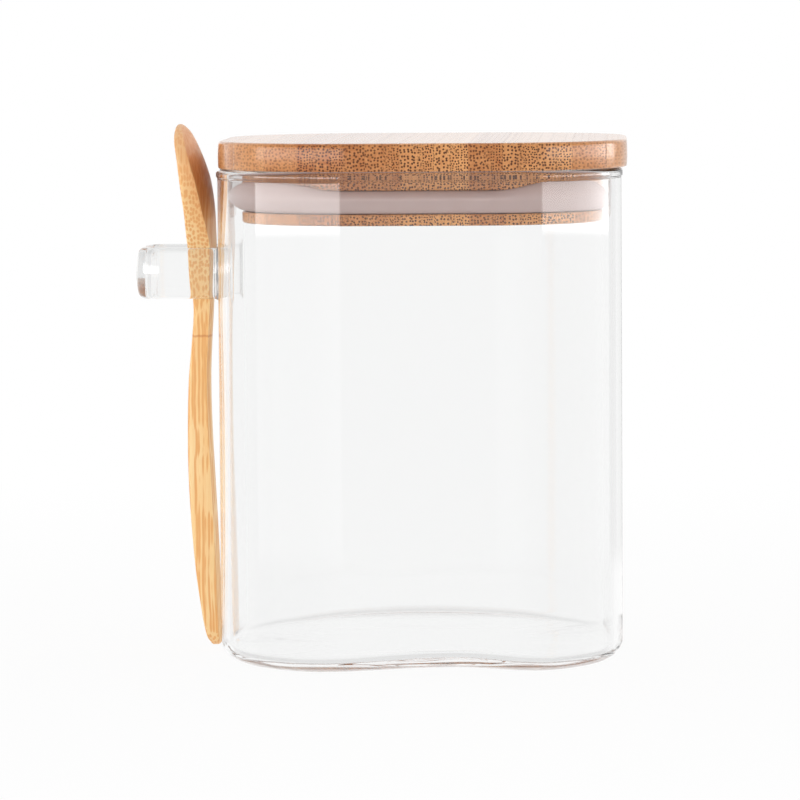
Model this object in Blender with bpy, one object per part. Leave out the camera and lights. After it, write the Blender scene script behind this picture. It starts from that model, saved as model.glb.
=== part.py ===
# Square glass storage jar with a bamboo lid, a silicone seal and a bamboo spoon that hangs in a glass loop.
# Metres, +Z up. The origin is on the shelf, under the middle of the whole object.
# The loop and the spoon are on the -X side, and the jar's other walls face +X, -Y and +Y.

import math

import bmesh
import bpy
import numpy as np
from mathutils import Matrix, Vector

# Driving sizes of the glass jar
jar_width = 0.100
jar_height = 0.1219
jar_corner_radius = 0.035
jar_wall = 0.0024
jar_floor = 0.0034
heel_radius = 0.0050
inner_heel_radius = 0.0042
pad_width = 0.0022
foot_arch_rise = 0.0015
push_up = 0.0010
rim_bead_height = 0.0021
rim_bead_proud = 0.0003
rim_bead_step = 0.0003

# Driving sizes of the glass loop
loop_reach = 0.0214
loop_depth = 0.026
loop_height = 0.0127
loop_strap = 0.0036
loop_crown = 0.0009
loop_corner_radius = 0.0068
loop_below_rim = 0.0199
loop_foot_length = 0.0032
loop_foot_flare = 0.0012

# Driving sizes of the lid board
lid_overhang = 0.00064
lid_shift = 0.0008
lid_thickness = 0.0066
lid_edge_radius = 0.0008
plug_clearance = 0.00295
plug_edge_radius = 0.0007
neck_height = 0.0048
groove_height = 0.0056
groove_depth = 0.0033
flange_height = 0.0031
strip_margin = 0.0009
full_strips = 11

# Driving sizes of the seal's lip
lip_tip_height = 0.0028
lip_tip_drop = 0.0006
lip_bulge = 0.0004

# Driving sizes of the spoon
spoon_thickness = 0.0070
spoon_foot_gap = 0.0016
spoon_wall_gap = 0.0006
bowl_length = 0.0312
bowl_width = 0.0280
handle_width = 0.0118
neck_width = 0.0096
spoon_end_radius = 0.0055
spoon_edge_radius = 0.0006
handle_crown = 0.0007
bowl_crown = 0.0019
hollow_depth = 0.0039
hollow_rim = 0.0019

# Clearances
fit_gap = 0.0003
glue_line = 0.0001
cut_overrun = 0.002

# How an arch sits on its side of the jar: off its middle, and short of the pads
arch_lean_share = 0.27
arch_span_share = 0.84

# How high the arches fade out, in heels, and how much of them the heel's top and the floor follow
straight_wall_heels = 4
wall_fade_share = 0.2
floor_arch_share = 0.55
floor_push_share = 0.4

# Rows of the underside and of the floor: share of the plan, and how much of the arch they follow
underside_shares = ((0.35, 0.0), (0.62, 0.12), (0.85, 0.55))
floor_shares = ((0.72, 0.15), (0.4, 0.0))

# Stations along the foot of the loop, from the wall
foot_shares = (0.0, 0.35, 0.7, 1.0)

# Where the spoon's handle is narrowest, where its bowl is widest, and how square the bowl's end is
neck_share = 0.85
belly_share = 0.58
bowl_end_power = 2.3
foot_start_share = 0.08
most_ease_share = 0.25

# How finely round shapes are divided
corner_steps = 10
side_steps = 4
heel_steps = 5
rim_steps = 6
edge_steps = 3
strap_steps = 4
crown_steps = 4
bend_steps = 7
spoon_rows = 34
front_steps = 4
back_steps = 8
hollow_segments = 28
hollow_rings = 16

# Places that follow from the sizes above
jar_half = jar_width / 2
inner_half = jar_half - jar_wall
inner_corner_radius = jar_corner_radius - jar_wall
lid_half = jar_half + lid_overhang
lid_corner_radius = jar_corner_radius + lid_overhang
lid_bottom = jar_height + fit_gap
lid_top = lid_bottom + lid_thickness
plug_half = inner_half - plug_clearance
plug_corner_radius = inner_corner_radius - plug_clearance
groove_top = lid_bottom - neck_height
groove_bottom = groove_top - groove_height
plug_bottom = groove_bottom - flange_height
core_half = plug_half - groove_depth
loop_top = jar_height - loop_below_rim
loop_middle = loop_top - loop_height / 2
loop_inner_half = loop_depth / 2 - loop_strap
strap_round = (loop_strap - loop_crown) / 2
wall_x = -jar_half
jar_x = (jar_half + loop_reach - lid_half - lid_shift) / 2
shoulder_z = loop_top - strap_round / 2
shoulder_half = loop_inner_half - fit_gap
spoon_top = shoulder_z + bowl_length


def clear_scene():
    """Removes what the scene holds when the script starts."""
    for obj in list(bpy.data.objects):
        bpy.data.objects.remove(obj, do_unlink=True)


def new_collection(name, hidden=False):
    collection = bpy.data.collections.new(name)
    bpy.context.scene.collection.children.link(collection)
    collection.hide_render = hidden
    return collection


def material(name, colour, roughness, metallic=0.0, transmission=0.0, ior=1.45):
    """A Principled material with the piece's own colour."""
    made = bpy.data.materials.new(name)
    made.use_nodes = True
    shader = made.node_tree.nodes["Principled BSDF"]
    shader.inputs["Base Color"].default_value = (*colour, 1.0)
    shader.inputs["Roughness"].default_value = roughness
    shader.inputs["Metallic"].default_value = metallic
    shader.inputs["Transmission Weight"].default_value = transmission
    shader.inputs["IOR"].default_value = ior
    return made


def mesh_object(name, mesh, collection, parent=None, finish=None):
    """Links a mesh under a name, with its material, below the empty that carries it."""
    obj = bpy.data.objects.new(name, mesh)
    collection.objects.link(obj)
    obj.parent = parent
    if finish:
        mesh.materials.clear()
        mesh.materials.append(finish)
    return obj


def empty(name, collection, place, parent=None):
    obj = bpy.data.objects.new(name, None)
    obj.empty_display_size = jar_half
    obj.location = place
    obj.parent = parent
    collection.objects.link(obj)
    return obj


def smooth_shade(mesh, sharp_degrees=35):
    mesh.shade_smooth()
    mesh.set_sharp_from_angle(angle=math.radians(sharp_degrees))


def loft(name, rings, closed=False, caps=True):
    """A skin over rings of equally many points: closed into a ring itself, or capped at both ends."""
    shape = bmesh.new()
    rows = [[shape.verts.new(point) for point in ring] for ring in rings]
    pairs = list(zip(rows, rows[1:]))
    if closed:
        pairs.append((rows[-1], rows[0]))
    for low, high in pairs:
        for i in range(len(low)):
            j = (i + 1) % len(low)
            shape.faces.new((low[i], low[j], high[j], high[i]))
    if caps and not closed:
        shape.faces.new(rows[0][::-1])
        shape.faces.new(rows[-1])
    bmesh.ops.recalc_face_normals(shape, faces=shape.faces)
    mesh = bpy.data.meshes.new(name)
    shape.to_mesh(mesh)
    shape.free()
    smooth_shade(mesh)
    return mesh


def plan_ring(half, radius, height, centre_x=0.0):
    """A rounded square at one height, anticlockwise from above."""
    straight = half - radius
    quarter = []
    for step in range(corner_steps + 1):
        angle = math.pi / 2 * step / corner_steps
        quarter.append((straight + radius * math.cos(angle), straight + radius * math.sin(angle)))
    for step in range(1, side_steps):
        quarter.append((straight - 2 * straight * step / side_steps, half))
    points = []
    for turn in range(4):
        spin = Matrix.Rotation(turn * math.pi / 2, 2)
        for x, y in quarter:
            turned = spin @ Vector((x, y))
            points.append(Vector((turned.x + centre_x, turned.y, height)))
    return points


def arch_at(point):
    """How far the foot has risen here: 1 in the arch of each side, 0 on the pads at the corners."""
    quarter_turn = math.pi / 2
    angle = math.atan2(point.y, point.x)
    along = ((angle + quarter_turn / 2) % quarter_turn) / (quarter_turn / 2) - 1
    reach = along - arch_lean_share
    reach /= (1 + arch_lean_share) if reach < 0 else (1 - arch_lean_share)
    if abs(reach) >= arch_span_share:
        return 0.0
    return math.cos(math.pi / 2 * reach / arch_span_share) ** 2


def glass_ring(inset, height, arch_share=0.0, scale_share=1.0):
    """A ring of the jar: set in from its outer wall, lifted where the foot arches, drawn in for the base."""
    ring = plan_ring(
        (jar_half - inset) * scale_share, (jar_corner_radius - inset) * scale_share, height
    )
    for point in ring:
        point.z += foot_arch_rise * arch_share * arch_at(point)
    return ring


def underside_rings():
    """The underside, from its middle outwards: a shallow push-up, then the pads that stand on the shelf."""
    rings = []
    for scale_share, arch_share in underside_shares:
        height = push_up * (1 - scale_share**2)
        rings.append(glass_ring(heel_radius + pad_width, height, arch_share, scale_share))
    rings.append(glass_ring(heel_radius + pad_width, 0.0, 1.0))
    return rings


def heel_rings():
    """The rounded heel, from the pads up to the wall. The arch fades out on the way."""
    rings = []
    for step in range(heel_steps + 1):
        angle = math.pi / 2 * step / heel_steps
        arch_share = 1 - (1 - wall_fade_share) * step / heel_steps
        inset = heel_radius * (1 - math.sin(angle))
        rings.append(glass_ring(inset, heel_radius * (1 - math.cos(angle)), arch_share))
    rings.append(glass_ring(0.0, straight_wall_heels * heel_radius))
    return rings


def rim_rings():
    """The fire-polished rim: a step out from the wall, a bead, and a round top down to the inner wall."""
    bead_bottom = jar_height - rim_bead_height
    rings = [glass_ring(0.0, bead_bottom - rim_bead_step), glass_ring(-rim_bead_proud, bead_bottom)]
    outer = jar_wall / 2 + rim_bead_proud
    inner = jar_wall / 2
    for step in range(rim_steps + 1):
        angle = math.pi * step / rim_steps
        reach = outer if math.cos(angle) > 0 else inner
        inset = jar_wall / 2 - reach * math.cos(angle)
        rings.append(glass_ring(inset, jar_height - inner * (1 - math.sin(angle))))
    return rings


def inside_rings():
    """The inner wall, the inner heel and the floor, down to the floor's middle."""
    heel_top = jar_floor + inner_heel_radius
    rings = [glass_ring(jar_wall, straight_wall_heels * heel_radius)]
    for step in range(heel_steps + 1):
        angle = math.pi / 2 * step / heel_steps
        arch_share = floor_arch_share * (wall_fade_share + (1 - wall_fade_share) * step / heel_steps)
        inset = jar_wall + inner_heel_radius * (1 - math.cos(angle))
        rings.append(glass_ring(inset, heel_top - inner_heel_radius * math.sin(angle), arch_share))
    for scale_share, arch_share in floor_shares:
        height = jar_floor + floor_push_share * push_up * (1 - scale_share**2)
        rings.append(glass_ring(jar_wall + inner_heel_radius, height, arch_share, scale_share))
    return rings


def make_jar_body(collection, parent, finish):
    rings = underside_rings() + heel_rings() + rim_rings() + inside_rings()
    return mesh_object("jar_body", loft("jar_body", rings), collection, parent, finish)


def strap_section():
    """The strap's section as (thickness, height) points: flat inside, crowned outside, round at its edges."""
    half_height = loop_height / 2
    half_strap = loop_strap / 2
    points = []
    for corner, (across, up) in enumerate(((1, 1), (-1, 1), (-1, -1), (1, -1))):
        centre_across = across * (half_strap - strap_round)
        centre_up = up * (half_height - strap_round)
        for step in range(strap_steps + 1):
            angle = math.pi / 2 * (corner + step / strap_steps)
            points.append(
                (
                    centre_across + strap_round * math.cos(angle),
                    centre_up + strap_round * math.sin(angle),
                )
            )
    flat_half = half_height - strap_round
    for step in range(1, crown_steps):
        points.append((half_strap, flat_half * (2 * step / crown_steps - 1)))
    crowned = []
    for across, up in points:
        drop = loop_crown * (up / half_height) ** 2 if across > 0 else 0.0
        crowned.append((across - drop, up))
    return crowned


def loop_path():
    """Places along the middle of the strap, from one foot round to the other, and their outward sides."""
    middle_radius = loop_corner_radius - loop_strap / 2
    out_x = wall_x - loop_reach + loop_strap / 2
    side_y = loop_depth / 2 - loop_strap / 2
    foot_x = wall_x - glue_line
    bend_x = out_x + middle_radius
    front = []
    for foot_share in foot_shares:
        front.append((Vector((foot_x - loop_foot_length * foot_share, -side_y)), Vector((0, -1))))
    for step in range(bend_steps + 1):
        angle = math.pi / 2 * step / bend_steps
        outward = Vector((-math.sin(angle), -math.cos(angle)))
        centre = Vector((bend_x, -side_y + middle_radius))
        front.append((centre + middle_radius * outward, outward))
    back = []
    for place, outward in reversed(front):
        back.append((Vector((place.x, -place.y)), Vector((outward.x, -outward.y))))
    return front + back


def flare_at(place):
    """How much wider the strap has grown here, where its foot flows out over the wall."""
    from_wall = wall_x - glue_line - place.x
    if from_wall >= loop_foot_length:
        return 0.0
    return loop_foot_flare * (1 - from_wall / loop_foot_length) ** 2


def make_spoon_loop(collection, parent, finish):
    rings = []
    for place, outward in loop_path():
        flare = flare_at(place)
        ring = []
        for across, up in strap_section():
            wider = across * (1 + flare / loop_strap)
            taller = up * (1 + 2 * flare / loop_height)
            spot = place + wider * outward
            ring.append(Vector((spot.x, spot.y, loop_middle + taller)))
        rings.append(ring)
    return mesh_object("spoon_loop", loft("spoon_loop", rings), collection, parent, finish)


def lid_ring(inset, height):
    return plan_ring(lid_half - inset, lid_corner_radius - inset, height)


def lower_edge(inset, radius, height):
    """Rings round a bottom edge of the board, from its underside up to its side."""
    rings = []
    for step in range(edge_steps + 1):
        angle = math.pi / 2 * step / edge_steps
        ring_inset = inset + radius * (1 - math.sin(angle))
        rings.append(lid_ring(ring_inset, height + radius * (1 - math.cos(angle))))
    return rings


def upper_edge(inset, radius, height):
    """Rings round a top edge of the board, from its side to its top."""
    rings = []
    for step in range(edge_steps + 1):
        angle = math.pi / 2 * step / edge_steps
        ring_inset = inset + radius * (1 - math.cos(angle))
        rings.append(lid_ring(ring_inset, height - radius * (1 - math.sin(angle))))
    return rings


def lid_blank_mesh():
    """The whole board as it leaves the router: plug flange, groove, neck and plate."""
    plug_inset = lid_half - plug_half
    core_inset = lid_half - core_half
    rings = lower_edge(plug_inset, plug_edge_radius, plug_bottom)
    rings.append(lid_ring(plug_inset, groove_bottom))
    rings.append(lid_ring(core_inset, groove_bottom))
    rings.append(lid_ring(core_inset, groove_top))
    rings.append(lid_ring(plug_inset, groove_top))
    rings.append(lid_ring(plug_inset, lid_bottom))
    rings += lower_edge(0.0, lid_edge_radius, lid_bottom)
    rings += upper_edge(0.0, lid_edge_radius, lid_top)
    return loft("lid_blank", rings)


def strip_edges():
    """The X of each glue line, and the board's ends. The last full strips end just outside the plug."""
    pitch = 2 * (plug_half + strip_margin) / full_strips
    lines = [pitch * (line - full_strips / 2) for line in range(full_strips + 1)]
    return [-lid_half - cut_overrun] + lines + [lid_half + cut_overrun]


def as_cutter(name, placement, collection, parent):
    """Makes the primitive just added a hidden cutter, with its place in its mesh."""
    cutter = bpy.context.object
    cutter.name = name
    for holder in list(cutter.users_collection):
        holder.objects.unlink(cutter)
    collection.objects.link(cutter)
    cutter.data.transform(placement)
    cutter.parent = parent
    cutter.hide_render = True
    cutter.display_type = "WIRE"
    return cutter


def cut_with(obj, operation, cutter):
    cut = obj.modifiers.new(operation.lower(), "BOOLEAN")
    cut.operation = operation
    cut.solver = "EXACT"
    cut.object = cutter


def make_lid_strips(collection, cutters, parent, finishes):
    """Each glued strip is the routed board between two glue lines."""
    blank = lid_blank_mesh()
    edges = strip_edges()
    height = lid_top - plug_bottom + 2 * cut_overrun
    depth = 2 * (lid_half + cut_overrun)
    for number, (left, right) in enumerate(zip(edges, edges[1:]), start=1):
        middle = Vector(((left + right) / 2, 0, (lid_top + plug_bottom) / 2))
        size = Matrix.Diagonal((right - left - glue_line, depth, height, 1))
        bpy.ops.mesh.primitive_cube_add(size=1)
        cutter = as_cutter(
            f"strip_cut_{number:02d}", Matrix.Translation(middle) @ size, cutters, parent
        )
        strip = mesh_object(
            f"lid_strip_{number:02d}", blank.copy(), collection, parent, finishes[number % 2]
        )
        cut_with(strip, "INTERSECT", cutter)
    bpy.data.meshes.remove(blank)


def held_ring(half, height):
    """A ring of the seal where the groove holds it, on the lid's own middle."""
    return plan_ring(half, half - plug_half + plug_corner_radius, height)


def pressed_ring(half, height):
    """A ring of the seal's lip, which the jar's wall presses to the jar's middle."""
    return plan_ring(half, half - inner_half + inner_corner_radius, height, -lid_shift)


def make_seal(collection, parent, finish):
    """The silicone ring: its body sits in the groove, and its lip bends out to the wall of the jar."""
    body_half = core_half + fit_gap
    shoulder_half_width = plug_half - fit_gap
    lip_half = inner_half - fit_gap
    top = groove_top - fit_gap
    bottom = groove_bottom + fit_gap
    tip_top = top - lip_tip_drop
    tip_bottom = tip_top - lip_tip_height
    rings = [
        held_ring(body_half, bottom),
        held_ring(body_half, top),
        held_ring(shoulder_half_width, top),
        pressed_ring(lip_half - lip_bulge, tip_top + lip_bulge / 2),
        pressed_ring(lip_half, tip_top - lip_bulge),
        pressed_ring(lip_half, tip_bottom + lip_bulge),
        pressed_ring(lip_half - lip_bulge, tip_bottom),
        held_ring(shoulder_half_width + lip_bulge, bottom + fit_gap),
        held_ring(shoulder_half_width - lip_bulge, bottom),
    ]
    mesh = loft("seal_ring", rings, closed=True)
    return mesh_object("seal_ring", mesh, collection, parent, finish)


# The spoon seen from the side. Heights are shares of the handle, then of the bowl. Front and back are
# distances from the jar's wall as shares of the thickness, and the crown is a share of the back's rounding.
handle_side_shares = (
    (0.000, 0.40, 0.140, 0.4),
    (0.006, 0.45, 0.080, 0.7),
    (0.020, 0.56, 0.057, 1.0),
    (0.045, 0.64, 0.064, 1.0),
    (0.070, 0.71, 0.080, 1.0),
    (0.180, 0.93, 0.124, 1.0),
    (0.310, 1.09, 0.197, 1.0),
    (0.437, 1.18, 0.286, 1.0),
    (0.557, 1.19, 0.363, 1.0),
    (0.674, 1.14, 0.390, 1.0),
    (0.760, 1.03, 0.343, 1.0),
    (0.849, 0.95, 0.271, 1.0),
    (0.925, 1.04, 0.214, 1.0),
)
bowl_side_shares = (
    (0.000, 1.08, 0.171, 0.40),
    (0.120, 1.12, 0.174, 0.58),
    (0.300, 1.17, 0.200, 0.87),
    (0.450, 1.25, 0.271, 1.00),
    (0.580, 1.32, 0.379, 1.00),
    (0.740, 1.41, 0.621, 0.85),
    (0.870, 1.51, 0.879, 0.58),
    (0.950, 1.52, 1.086, 0.47),
    (0.985, 1.49, 1.250, 0.30),
    (1.000, 1.45, 1.343, 0.15),
)


def spoon_side_rows():
    """The spoon's side as rows of (height, front, back, crown), from the foot of the handle to the tip."""
    rows = []
    tables = (
        (handle_side_shares, spoon_foot_gap, shoulder_z, handle_crown),
        (bowl_side_shares, shoulder_z, spoon_top, bowl_crown),
    )
    for shares, low, high, most_crown in tables:
        for height_share, front_share, back_share, crown_share in shares:
            rows.append(
                (
                    low + (high - low) * height_share,
                    spoon_wall_gap + spoon_thickness * front_share,
                    spoon_wall_gap + spoon_thickness * back_share,
                    most_crown * crown_share,
                )
            )
    return rows


def handle_half_at(height):
    """Half the handle's width: a round foot, a long taper to the neck, then out to the shoulders."""
    along = (height - spoon_foot_gap) / (shoulder_z - spoon_foot_gap)
    if along > neck_share:
        opening = (along - neck_share) / (1 - neck_share)
        return neck_width / 2 + (shoulder_half - neck_width / 2) * opening**2
    taper = math.cos(math.pi / 2 * along / neck_share) ** 2
    half = (neck_width + (handle_width - neck_width) * math.sqrt(taper)) / 2
    rise = min(1.0, foot_start_share + (height - spoon_foot_gap) / spoon_end_radius)
    return half * math.sqrt(1 - (1 - rise) ** 2)


def bowl_half_at(height):
    """Half the bowl's width: egg-shaped, out from the shoulders to the belly and round to the tip."""
    along = (height - shoulder_z) / bowl_length
    if along < belly_share:
        opening = math.sin(math.pi / 2 * along / belly_share)
        return shoulder_half + (bowl_width / 2 - shoulder_half) * opening
    reach = (along - belly_share) / (1 - belly_share) * (1 - foot_start_share**2)
    return bowl_width / 2 * (1 - reach**bowl_end_power) ** (1 / bowl_end_power)


def spoon_section(height, front, back, crown):
    """One level section: flat front and sides with eased edges, and a crowned back."""
    half = handle_half_at(height) if height < shoulder_z else bowl_half_at(height)
    front_x = wall_x - front
    back_x = wall_x - back
    thickness = back_x - front_x
    ease = min(spoon_edge_radius, thickness * most_ease_share, half * most_ease_share)
    rounding = min(crown, thickness / 2)
    points = []
    for step in range(front_steps + 1):
        points.append((front_x, (2 * step / front_steps - 1) * (half - ease)))
    points.append((front_x + ease, half))
    for step in range(back_steps + 1):
        across = 1 - 2 * step / back_steps
        points.append((back_x - rounding * across**2, half * across))
    points.append((front_x + ease, -half))
    return [Vector((x, y, height)) for x, y in points]


def smooth_rows(rows, count):
    """More rows, on a smooth curve through the given ones."""
    knots = np.array(rows)
    heights = knots[:, 0]
    slopes = np.gradient(knots, heights, axis=0)
    spacing = (heights[-1] - heights[0]) / count
    made = []
    for i in range(len(knots) - 1):
        span = heights[i + 1] - heights[i]
        steps = max(1, round(span / spacing))
        for step in range(steps):
            t = step / steps
            start = (1 + 2 * t) * (1 - t) ** 2 * knots[i] + t * (1 - t) ** 2 * span * slopes[i]
            end = t * t * (3 - 2 * t) * knots[i + 1] + t * t * (t - 1) * span * slopes[i + 1]
            made.append([heights[i] + span * t, *(start + end)[1:]])
    made.append(list(knots[-1]))
    return made


def hollow_cutter(collection, parent):
    """A leaning ellipsoid, half sunk in the front of the bowl, that leaves a rim all round."""
    rows = np.array(spoon_side_rows())
    low = loop_top + hollow_rim
    high = spoon_top - hollow_rim
    middle = (low + high) / 2
    front_low, front_middle, front_high = np.interp((low, middle, high), rows[:, 0], rows[:, 1])
    lean = math.atan2(front_high - front_low, high - low)
    size = Matrix.Diagonal((hollow_depth, bowl_width / 2 - hollow_rim, (high - low) / 2, 1))
    place = Matrix.Translation((wall_x - front_middle, 0, middle))
    bpy.ops.mesh.primitive_uv_sphere_add(
        segments=hollow_segments, ring_count=hollow_rings, radius=1
    )
    return as_cutter(
        "hollow_cut", place @ Matrix.Rotation(-lean, 4, "Y") @ size, collection, parent
    )


def make_spoon(collection, cutters, parent, finish):
    rows = smooth_rows(spoon_side_rows(), spoon_rows)
    mesh = loft("spoon", [spoon_section(*row) for row in rows])
    spoon = mesh_object("spoon", mesh, collection, parent, finish)
    cut_with(spoon, "DIFFERENCE", hollow_cutter(cutters, parent))
    return spoon


def main():
    clear_scene()
    part = new_collection("glass_storage_jar")
    cutters = new_collection("cutters", hidden=True)
    glass = material("clear_glass", (0.96, 0.98, 0.97), 0.0, transmission=1.0, ior=1.47)
    pale_bamboo = material("pale_bamboo", (0.60, 0.34, 0.16), 0.45)
    dark_bamboo = material("dark_bamboo", (0.52, 0.28, 0.12), 0.45)
    spoon_bamboo = material("spoon_bamboo", (0.78, 0.43, 0.16), 0.4)
    silicone = material("silicone", (0.62, 0.52, 0.48), 0.5)
    jar = empty("jar_frame", part, (jar_x, 0, 0))
    lid = empty("lid_frame", part, (lid_shift, 0, 0), jar)
    spoon_frame = empty("spoon_frame", part, (0, 0, 0), jar)
    make_jar_body(part, jar, glass)
    make_spoon_loop(part, jar, glass)
    make_lid_strips(part, cutters, lid, (pale_bamboo, dark_bamboo))
    make_seal(part, lid, silicone)
    make_spoon(part, cutters, spoon_frame, spoon_bamboo)


main()
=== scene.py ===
# %% [markdown]
# # A square glass canister with a bamboo lid and a bamboo spoon
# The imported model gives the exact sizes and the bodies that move. This file dresses it: clear fused glass,
# a laminated bamboo lid, a silicone seal and a carved spoon, each made with Blender's own mesh operators.

import math

import bmesh
import bpy
from mathutils import Matrix, Vector


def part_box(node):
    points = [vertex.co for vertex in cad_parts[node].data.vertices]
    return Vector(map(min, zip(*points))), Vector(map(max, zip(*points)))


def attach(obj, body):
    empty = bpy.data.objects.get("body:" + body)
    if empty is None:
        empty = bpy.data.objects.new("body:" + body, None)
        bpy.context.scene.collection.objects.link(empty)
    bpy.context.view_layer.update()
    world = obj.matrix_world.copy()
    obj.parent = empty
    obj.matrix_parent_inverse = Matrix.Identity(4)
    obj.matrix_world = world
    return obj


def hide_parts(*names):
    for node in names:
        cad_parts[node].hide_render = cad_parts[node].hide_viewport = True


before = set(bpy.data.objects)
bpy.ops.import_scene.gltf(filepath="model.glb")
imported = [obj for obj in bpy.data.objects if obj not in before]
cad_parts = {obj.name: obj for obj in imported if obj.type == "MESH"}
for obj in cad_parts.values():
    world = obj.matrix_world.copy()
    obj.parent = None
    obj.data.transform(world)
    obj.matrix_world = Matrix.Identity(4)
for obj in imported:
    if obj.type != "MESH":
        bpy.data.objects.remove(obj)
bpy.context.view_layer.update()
jar_low, jar_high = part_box("jar_body")
lid_low, lid_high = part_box("lid_strip_07")
jar_x = (jar_low.x + jar_high.x) / 2
lid_x = (lid_low.x + lid_high.x) / 2

# %% [markdown]
# ## Small helpers
# Each helper does one thing that every piece needs: turn a bmesh into an object, set one input of a shader,
# or add one node. Places are in the part's own frame, so no object is ever moved afterwards.

# %% Helpers for meshes
mm = 0.001


def cleaned(shape, *layers):
    """Clears away layers that only helped to build a shape, and turns its faces outwards."""
    for name in layers:
        shape.verts.layers.float_vector.remove(shape.verts.layers.float_vector[name])
    bmesh.ops.recalc_face_normals(shape, faces=shape.faces)
    return shape


def finished(name, shape, finish, smooth_degrees=40):
    """Writes a bmesh into a new object at the origin, smooth, with one material."""
    mesh = bpy.data.meshes.new(name)
    shape.to_mesh(mesh)
    shape.free()
    mesh.shade_smooth()
    mesh.set_sharp_from_angle(angle=math.radians(smooth_degrees))
    obj = bpy.data.objects.new(name, mesh)
    bpy.context.scene.collection.objects.link(obj)
    mesh.materials.append(finish)
    return obj


# %% Helpers for numbers
def eased(value, low, high):
    """0 below low, 1 above high, and a smooth rise between them."""
    share = max(0.0, min(1.0, (value - low) / (high - low)))
    return share * share * (3 - 2 * share)


def between(value, table):
    """Reads a table of (place, value) pairs, straight between its rows."""
    for (low, low_value), (high, high_value) in zip(table, table[1:]):
        if value <= high:
            return low_value + (high_value - low_value) * max(0.0, value - low) / (high - low)
    return table[-1][1]


def arc(steps):
    """Angles of a quarter turn, both ends counted."""
    return [math.pi / 2 * step / steps for step in range(steps + 1)]


# %% Helpers for materials
def new_material(name):
    """A material, its node tree and the Principled shader that it starts with."""
    made = bpy.data.materials.new(name)
    made.use_nodes = True
    return made, made.node_tree, made.node_tree.nodes["Principled BSDF"]


def feed(tree, values):
    """Sets inputs from pairs of (input, value), where a value can be another node's output."""
    for socket, value in values:
        if isinstance(value, bpy.types.NodeSocket):
            tree.links.new(value, socket)
        else:
            socket.default_value = value


def set_inputs(tree, node, **values):
    """Sets inputs by name, with underscores for spaces."""
    feed(tree, ((node.inputs[name.replace("_", " ")], value) for name, value in values.items()))


def add(tree, kind, **settings):
    """Adds a node and sets its own settings."""
    node = tree.nodes.new(kind)
    for name, value in settings.items():
        setattr(node, name, value)
    return node


# %% Shader steps
def place_parts(tree, kind="Object"):
    """The place that is shaded, whole and as its three parts."""
    place = add(tree, "ShaderNodeTexCoord").outputs[kind]
    axes = add(tree, "ShaderNodeSeparateXYZ")
    tree.links.new(place, axes.inputs[0])
    return place, axes.outputs


def maths(tree, operation, *values, clamp=False):
    """One arithmetic step between outputs or numbers."""
    node = add(tree, "ShaderNodeMath", operation=operation, use_clamp=clamp)
    feed(tree, zip(node.inputs, values))
    return node.outputs[0]


def either(tree, share, first, second):
    """The first level, or the second where share is 1."""
    node = add(tree, "ShaderNodeMix", data_type="FLOAT")
    feed(tree, ((node.inputs[0], share), (node.inputs[2], first), (node.inputs[3], second)))
    return node.outputs[0]


def mapped(tree, source, scale):
    """The same place, scaled along each axis. A small scale draws a pattern out along that axis."""
    node = add(tree, "ShaderNodeMapping")
    set_inputs(tree, node, Scale=scale, Vector=source)
    return node.outputs[0]


def noise(tree, vector, scale, detail=2.0, roughness=0.5):
    """Cloudy noise, about 0.5 on average. scale is in clouds to the metre."""
    node = add(tree, "ShaderNodeTexNoise")
    set_inputs(tree, node, Scale=scale, Detail=detail, Roughness=roughness, Vector=vector)
    return node.outputs["Fac"]


def smooth_step(tree, value, low, high, first=0.0, second=1.0):
    """A smooth change from the first number, where the value is low, to the second, where it is high."""
    node = add(tree, "ShaderNodeMapRange", interpolation_type="SMOOTHSTEP")
    set_inputs(tree, node, From_Min=low, From_Max=high, To_Min=first, To_Max=second, Value=value)
    return node.outputs[0]


def soft_edge(tree, value, place, softness, first=0.0, second=1.0):
    """A smooth change from the first number to the second, centred on a place."""
    return smooth_step(tree, value, place - softness, place + softness, first, second)


def mix_colours(tree, share, first, second, blend="MIX"):
    """The first colour, or the second where share is 1."""
    node = add(tree, "ShaderNodeMix", data_type="RGBA", blend_type=blend)
    feed(tree, ((node.inputs[0], share), (node.inputs[6], first), (node.inputs[7], second)))
    return node.outputs[2]


def mix_shaders(tree, share, first, second):
    """The first shader, or the second where share is 1."""
    node = add(tree, "ShaderNodeMixShader")
    feed(tree, zip(node.inputs, (share, first, second)))
    return node.outputs[0]


def roughen(tree, shader, height, strength):
    """Bumps a shader's surface by up to 0.1 mm."""
    bump = add(tree, "ShaderNodeBump")
    set_inputs(tree, bump, Strength=strength, Distance=0.1 * mm, Height=height)
    set_inputs(tree, shader, Normal=bump.outputs[0])


def colour(red, green, blue):
    """A colour named by its screen values, 0 to 255, as the shader's linear numbers."""
    return tuple(((value / 255 + 0.055) / 1.055) ** 2.4 for value in (red, green, blue)) + (1.0,)


# %% [markdown]
# ## The camera
# The photograph is taken with a long lens from about 1.25 m, a little above the lid, almost square on to the
# front wall. A camera looks straight down until it is rolled, tilted up and turned, in that order.

# %% Camera
image_side = 800
focal_pixels = 4974.4
camera_place = Vector((0.0601, -1.2446, 0.1619))
camera_pitch = 0.0792
camera_yaw = 0.0449
camera_roll = -0.0066

lens = bpy.data.cameras.new("photo_camera")
lens.sensor_width = 36
lens.lens = focal_pixels / image_side * lens.sensor_width
lens.clip_start = 0.05
lens.clip_end = 50
camera = bpy.data.objects.new("photo_camera", lens)
camera.matrix_world = (
    Matrix.Translation(camera_place)
    @ Matrix.Rotation(camera_yaw, 4, "Z")
    @ Matrix.Rotation(math.pi / 2 - camera_pitch, 4, "X")
    @ Matrix.Rotation(camera_roll, 4, "Z")
)
bpy.context.scene.collection.objects.link(camera)
bpy.context.scene.camera = camera
print("lens", round(lens.lens, 2), "mm")

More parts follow.
